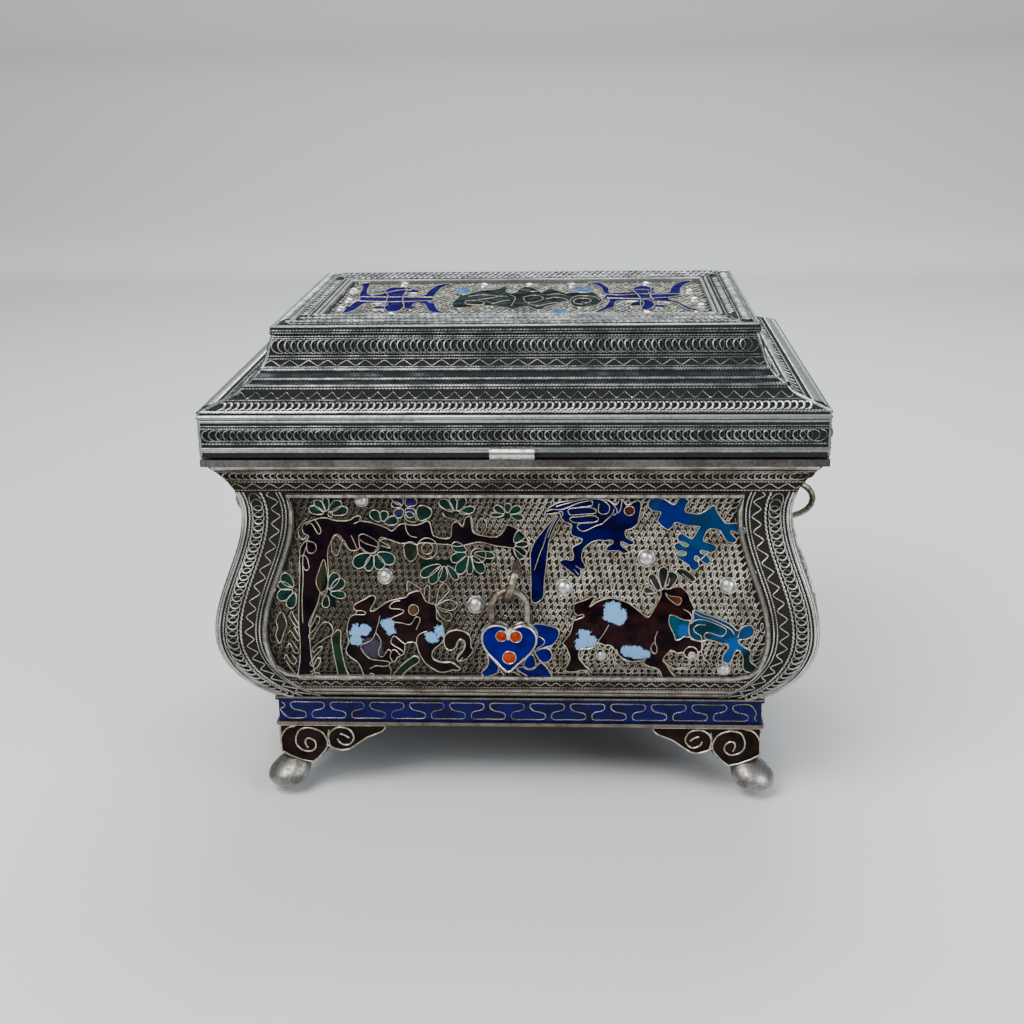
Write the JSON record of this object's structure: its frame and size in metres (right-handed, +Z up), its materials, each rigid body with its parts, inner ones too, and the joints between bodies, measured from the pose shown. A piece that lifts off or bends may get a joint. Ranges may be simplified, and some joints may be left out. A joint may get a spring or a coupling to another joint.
{
  "type": "filigree enamel box",
  "caption": "Rectangular silver filigree and enamel casket with bulging ogee sides, a stepped hinged lid, corner feet and a heart padlock.",
  "frame": {"origin": "centre of the bounding box at the undersides of the four foot pads", "axes": "+X to the right along the front, +Y from the front with the padlock to the hinged back, +Z up"},
  "size_m": [0.1396, 0.1076, 0.1063],
  "materials": {
    "body_silver": "tarnished silver filigree, warm and dark in the recesses",
    "lid_silver": "tarnished silver filigree, cooler and greyer",
    "bright_silver": "worn bright silver",
    "cobalt_enamel": "glossy deep cobalt enamel with silver wire",
    "aubergine_enamel": "glossy aubergine black enamel with silver wire",
    "turquoise_enamel": "glossy turquoise blue enamel with silver wire",
    "green_enamel": "thin green enamel with silver wire",
    "grey_green_enamel": "worn grey green enamel with silver wire"
  },
  "bodies": {
    "casket": {"body_shell": "body_silver", "body_rim": "body_silver", "plinth": "cobalt_enamel", "foot_bracket_front_left": "aubergine_enamel", "foot_bracket_front_right": "aubergine_enamel", "foot_bracket_back_left": "aubergine_enamel", "foot_bracket_back_right": "aubergine_enamel", "foot_pad_front_left": "bright_silver", "foot_pad_front_right": "bright_silver", "foot_pad_back_left": "bright_silver", "foot_pad_back_right": "bright_silver", "front_staple": "bright_silver", "side_loop_left": "bright_silver", "side_loop_right": "bright_silver", "padlock_heart": "cobalt_enamel", "padlock_shackle": "bright_silver", "hinge_knuckle_left": "bright_silver", "hinge_knuckle_right": "bright_silver", "hinge_pin": "bright_silver", "panel_frame_front": "body_silver", "panel_frame_right": "body_silver", "panel_frame_back": "body_silver", "panel_frame_left": "body_silver", "tree_trunk": "aubergine_enamel", "tree_branch": "aubergine_enamel", "fawn": "aubergine_enamel", "stag": "aubergine_enamel", "antlers": "aubergine_enamel", "bird": "cobalt_enamel", "bird_tail": "cobalt_enamel", "twig": "turquoise_enamel", "lizard": "turquoise_enamel", "flower": "cobalt_enamel", "grass_long": "green_enamel", "grass_short": "green_enamel", "fan_upper_left": "green_enamel", "fan_branch_left": "green_enamel", "blossom": "cobalt_enamel", "fan_branch_middle": "green_enamel", "fan_upper_middle": "green_enamel", "fan_hanging": "green_enamel", "fan_lower_middle": "green_enamel", "fan_dark": "green_enamel", "fan_trunk_left": "green_enamel", "fan_trunk_right": "green_enamel", "fan_upper_right": "green_enamel", "fan_branch_right": "green_enamel", "rosette_back": "cobalt_enamel", "rosette_left": "cobalt_enamel", "rosette_right": "cobalt_enamel"},
    "lid": {"lid_shell": "lid_silver", "lid_top_frame": "lid_silver", "lid_top_panel": "lid_silver", "lid_bat_left": "cobalt_enamel", "lid_bat_right": "cobalt_enamel", "lid_swirl": "grey_green_enamel", "hasp_knuckle": "bright_silver", "hinge_knuckle_lid": "bright_silver"}
  },
  "joints": [
    {"name": "lid_hinge", "type": "hinge", "parent": "casket", "child": "lid", "pos_m": [0, 0.0524, 0.08125], "axis": [-1, 0, 0], "range_deg": [0, 105]}
  ]
}
